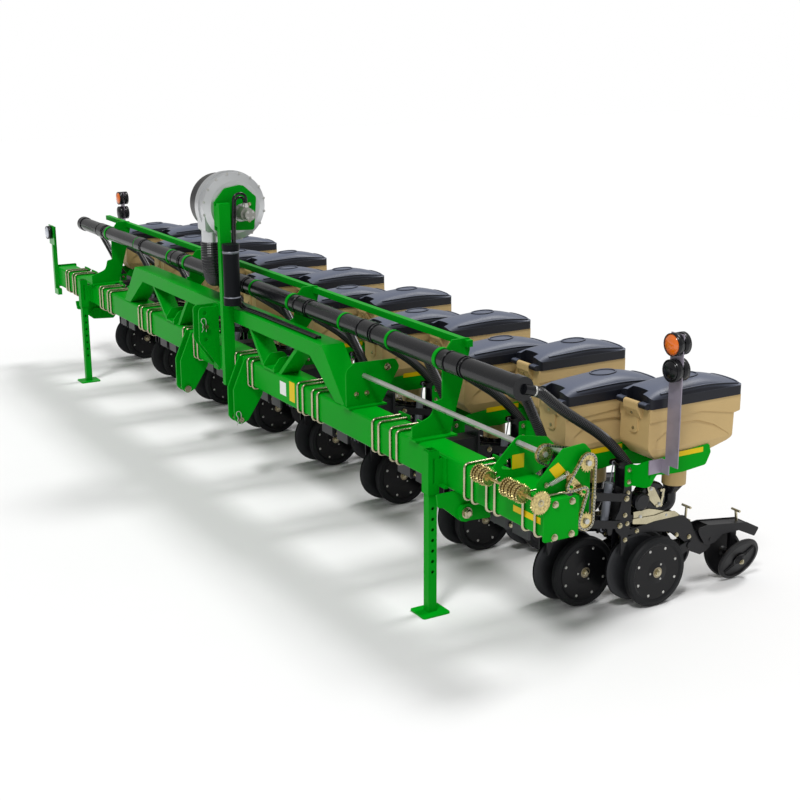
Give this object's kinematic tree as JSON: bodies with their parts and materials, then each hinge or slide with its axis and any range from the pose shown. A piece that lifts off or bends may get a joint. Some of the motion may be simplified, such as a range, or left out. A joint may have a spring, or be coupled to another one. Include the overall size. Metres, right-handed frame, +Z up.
{
  "type": "mounted twin-row precision planter",
  "caption": "Three-point mounted row-crop planter: square toolbar with truss, twin-row seeding units, tan hoppers with hinged lids, fan, air manifold and two parking stands.",
  "frame": {"origin": "on the ground under the middle of the machine's box", "axes": "+X to the machine's left, +Y to its rear, +Z up; -Y faces the tractor"},
  "size_m": [7.8042, 1.9742, 2.125],
  "materials": {
    "black_paint": "satin black enamel",
    "black_plastic": "smooth black plastic pipe",
    "black_rubber": "black rubber over nylon",
    "bright_steel": "bright cold drawn steel",
    "cast_aluminium": "plain cast aluminium",
    "charcoal_plastic": "grained charcoal polyethylene",
    "green_paint": "bright green gloss enamel",
    "grey_steel": "dark grey satin coat",
    "lamp_lens": "amber ribbed lens in black housing",
    "tan_plastic": "rotation moulded tan polyethylene",
    "zinc": "yellow passivated zinc plate"
  },
  "bodies": {
    "root": {"toolbar": "green_paint", "frame_truss": "green_paint", "hitch_plates": "green_paint", "hitch_pins": "zinc", "jack_brackets": "green_paint", "unit_mounts": "grey_steel", "parallel_arms": "black_paint", "row_unit_frames": "black_paint", "opener_discs": "bright_steel", "closing_arms": "black_paint", "closing_wheels": "black_rubber", "down_springs": "grey_steel", "seed_meters": "black_plastic", "unit_hardware": "zinc", "hoppers": "tan_plastic", "hopper_saddles": "green_paint", "air_manifold": "black_plastic", "air_hoses": "black_plastic", "manifold_supports": "green_paint", "fan_housing": "cast_aluminium", "fan_post": "green_paint", "drive_brackets": "green_paint", "drive_gear": "bright_steel", "drive_chains": "bright_steel", "lamp_brackets": "zinc", "warning_lamps": "lamp_lens"},
    "hopper_lid_01": {"hopper_lid_01": "charcoal_plastic"},
    "gauge_wheels_01": {"gauge_wheels_01": "black_rubber"},
    "hopper_lid_02": {"hopper_lid_02": "charcoal_plastic"},
    "gauge_wheels_02": {"gauge_wheels_02": "black_rubber"},
    "hopper_lid_03": {"hopper_lid_03": "charcoal_plastic"},
    "gauge_wheels_03": {"gauge_wheels_03": "black_rubber"},
    "hopper_lid_04": {"hopper_lid_04": "charcoal_plastic"},
    "gauge_wheels_04": {"gauge_wheels_04": "black_rubber"},
    "hopper_lid_05": {"hopper_lid_05": "charcoal_plastic"},
    "gauge_wheels_05": {"gauge_wheels_05": "black_rubber"},
    "hopper_lid_06": {"hopper_lid_06": "charcoal_plastic"},
    "gauge_wheels_06": {"gauge_wheels_06": "black_rubber"},
    "hopper_lid_07": {"hopper_lid_07": "charcoal_plastic"},
    "gauge_wheels_07": {"gauge_wheels_07": "black_rubber"},
    "hopper_lid_08": {"hopper_lid_08": "charcoal_plastic"},
    "gauge_wheels_08": {"gauge_wheels_08": "black_rubber"},
    "hopper_lid_09": {"hopper_lid_09": "charcoal_plastic"},
    "gauge_wheels_09": {"gauge_wheels_09": "black_rubber"},
    "hopper_lid_10": {"hopper_lid_10": "charcoal_plastic"},
    "gauge_wheels_10": {"gauge_wheels_10": "black_rubber"},
    "hopper_lid_11": {"hopper_lid_11": "charcoal_plastic"},
    "gauge_wheels_11": {"gauge_wheels_11": "black_rubber"},
    "hopper_lid_12": {"hopper_lid_12": "charcoal_plastic"},
    "gauge_wheels_12": {"gauge_wheels_12": "black_rubber"},
    "hopper_lid_13": {"hopper_lid_13": "charcoal_plastic"},
    "gauge_wheels_13": {"gauge_wheels_13": "black_rubber"},
    "hopper_lid_14": {"hopper_lid_14": "charcoal_plastic"},
    "gauge_wheels_14": {"gauge_wheels_14": "black_rubber"},
    "hopper_lid_15": {"hopper_lid_15": "charcoal_plastic"},
    "gauge_wheels_15": {"gauge_wheels_15": "black_rubber"},
    "hopper_lid_16": {"hopper_lid_16": "charcoal_plastic"},
    "gauge_wheels_16": {"gauge_wheels_16": "black_rubber"},
    "jack_leg_left": {"jack_leg_left": "green_paint"},
    "jack_leg_right": {"jack_leg_right": "green_paint"}
  },
  "joints": [
    {"name": "hopper_lid_01_hinge", "type": "hinge", "parent": "root", "child": "hopper_lid_01", "pos_m": [-3.5617, -0.30513, 1.168], "axis": [1, 0, 0], "range_deg": [0, 95]},
    {"name": "gauge_wheels_01_spin", "type": "hinge", "parent": "root", "child": "gauge_wheels_01", "pos_m": [-3.5287, -0.13113, 0.198], "axis": [1, 0, 0], "continuous": true},
    {"name": "hopper_lid_02_hinge", "type": "hinge", "parent": "root", "child": "hopper_lid_02", "pos_m": [-3.2925, 0.02887, 1.168], "axis": [1, 0, 0], "range_deg": [0, 95]},
    {"name": "gauge_wheels_02_spin", "type": "hinge", "parent": "root", "child": "gauge_wheels_02", "pos_m": [-3.3255, 0.20287, 0.198], "axis": [1, 0, 0], "continuous": true},
    {"name": "hopper_lid_03_hinge", "type": "hinge", "parent": "root", "child": "hopper_lid_03", "pos_m": [-2.5965, -0.30513, 1.168], "axis": [1, 0, 0], "range_deg": [0, 95]},
    {"name": "gauge_wheels_03_spin", "type": "hinge", "parent": "root", "child": "gauge_wheels_03", "pos_m": [-2.5635, -0.13113, 0.198], "axis": [1, 0, 0], "continuous": true},
    {"name": "hopper_lid_04_hinge", "type": "hinge", "parent": "root", "child": "hopper_lid_04", "pos_m": [-2.3273, 0.02887, 1.168], "axis": [1, 0, 0], "range_deg": [0, 95]},
    {"name": "gauge_wheels_04_spin", "type": "hinge", "parent": "root", "child": "gauge_wheels_04", "pos_m": [-2.3603, 0.20287, 0.198], "axis": [1, 0, 0], "continuous": true},
    {"name": "hopper_lid_05_hinge", "type": "hinge", "parent": "root", "child": "hopper_lid_05", "pos_m": [-1.6313, -0.30513, 1.168], "axis": [1, 0, 0], "range_deg": [0, 95]},
    {"name": "gauge_wheels_05_spin", "type": "hinge", "parent": "root", "child": "gauge_wheels_05", "pos_m": [-1.5983, -0.13113, 0.198], "axis": [1, 0, 0], "continuous": true},
    {"name": "hopper_lid_06_hinge", "type": "hinge", "parent": "root", "child": "hopper_lid_06", "pos_m": [-1.3621, 0.02887, 1.168], "axis": [1, 0, 0], "range_deg": [0, 95]},
    {"name": "gauge_wheels_06_spin", "type": "hinge", "parent": "root", "child": "gauge_wheels_06", "pos_m": [-1.3951, 0.20287, 0.198], "axis": [1, 0, 0], "continuous": true},
    {"name": "hopper_lid_07_hinge", "type": "hinge", "parent": "root", "child": "hopper_lid_07", "pos_m": [-0.6661, -0.30513, 1.168], "axis": [1, 0, 0], "range_deg": [0, 95]},
    {"name": "gauge_wheels_07_spin", "type": "hinge", "parent": "root", "child": "gauge_wheels_07", "pos_m": [-0.6331, -0.13113, 0.198], "axis": [1, 0, 0], "continuous": true},
    {"name": "hopper_lid_08_hinge", "type": "hinge", "parent": "root", "child": "hopper_lid_08", "pos_m": [-0.3969, 0.02887, 1.168], "axis": [1, 0, 0], "range_deg": [0, 95]},
    {"name": "gauge_wheels_08_spin", "type": "hinge", "parent": "root", "child": "gauge_wheels_08", "pos_m": [-0.4299, 0.20287, 0.198], "axis": [1, 0, 0], "continuous": true},
    {"name": "hopper_lid_09_hinge", "type": "hinge", "parent": "root", "child": "hopper_lid_09", "pos_m": [0.2991, -0.30513, 1.168], "axis": [1, 0, 0], "range_deg": [0, 95]},
    {"name": "gauge_wheels_09_spin", "type": "hinge", "parent": "root", "child": "gauge_wheels_09", "pos_m": [0.3321, -0.13113, 0.198], "axis": [1, 0, 0], "continuous": true},
    {"name": "hopper_lid_10_hinge", "type": "hinge", "parent": "root", "child": "hopper_lid_10", "pos_m": [0.5683, 0.02887, 1.168], "axis": [1, 0, 0], "range_deg": [0, 95]},
    {"name": "gauge_wheels_10_spin", "type": "hinge", "parent": "root", "child": "gauge_wheels_10", "pos_m": [0.5353, 0.20287, 0.198], "axis": [1, 0, 0], "continuous": true},
    {"name": "hopper_lid_11_hinge", "type": "hinge", "parent": "root", "child": "hopper_lid_11", "pos_m": [1.2643, -0.30513, 1.168], "axis": [1, 0, 0], "range_deg": [0, 95]},
    {"name": "gauge_wheels_11_spin", "type": "hinge", "parent": "root", "child": "gauge_wheels_11", "pos_m": [1.2973, -0.13113, 0.198], "axis": [1, 0, 0], "continuous": true},
    {"name": "hopper_lid_12_hinge", "type": "hinge", "parent": "root", "child": "hopper_lid_12", "pos_m": [1.5335, 0.02887, 1.168], "axis": [1, 0, 0], "range_deg": [0, 95]},
    {"name": "gauge_wheels_12_spin", "type": "hinge", "parent": "root", "child": "gauge_wheels_12", "pos_m": [1.5005, 0.20287, 0.198], "axis": [1, 0, 0], "continuous": true},
    {"name": "hopper_lid_13_hinge", "type": "hinge", "parent": "root", "child": "hopper_lid_13", "pos_m": [2.2295, -0.30513, 1.168], "axis": [1, 0, 0], "range_deg": [0, 95]},
    {"name": "gauge_wheels_13_spin", "type": "hinge", "parent": "root", "child": "gauge_wheels_13", "pos_m": [2.2625, -0.13113, 0.198], "axis": [1, 0, 0], "continuous": true},
    {"name": "hopper_lid_14_hinge", "type": "hinge", "parent": "root", "child": "hopper_lid_14", "pos_m": [2.4987, 0.02887, 1.168], "axis": [1, 0, 0], "range_deg": [0, 95]},
    {"name": "gauge_wheels_14_spin", "type": "hinge", "parent": "root", "child": "gauge_wheels_14", "pos_m": [2.4657, 0.20287, 0.198], "axis": [1, 0, 0], "continuous": true},
    {"name": "hopper_lid_15_hinge", "type": "hinge", "parent": "root", "child": "hopper_lid_15", "pos_m": [3.1947, -0.30513, 1.168], "axis": [1, 0, 0], "range_deg": [0, 95]},
    {"name": "gauge_wheels_15_spin", "type": "hinge", "parent": "root", "child": "gauge_wheels_15", "pos_m": [3.2277, -0.13113, 0.198], "axis": [1, 0, 0], "continuous": true},
    {"name": "hopper_lid_16_hinge", "type": "hinge", "parent": "root", "child": "hopper_lid_16", "pos_m": [3.4639, 0.02887, 1.168], "axis": [1, 0, 0], "range_deg": [0, 95]},
    {"name": "gauge_wheels_16_spin", "type": "hinge", "parent": "root", "child": "gauge_wheels_16", "pos_m": [3.4309, 0.20287, 0.198], "axis": [1, 0, 0], "continuous": true},
    {"name": "jack_leg_left_slide", "type": "slide", "parent": "root", "child": "jack_leg_left", "axis": [0, 0, 1], "range_m": [0, 0.45]},
    {"name": "jack_leg_right_slide", "type": "slide", "parent": "root", "child": "jack_leg_right", "axis": [0, 0, 1], "range_m": [0, 0.45]}
  ]
}
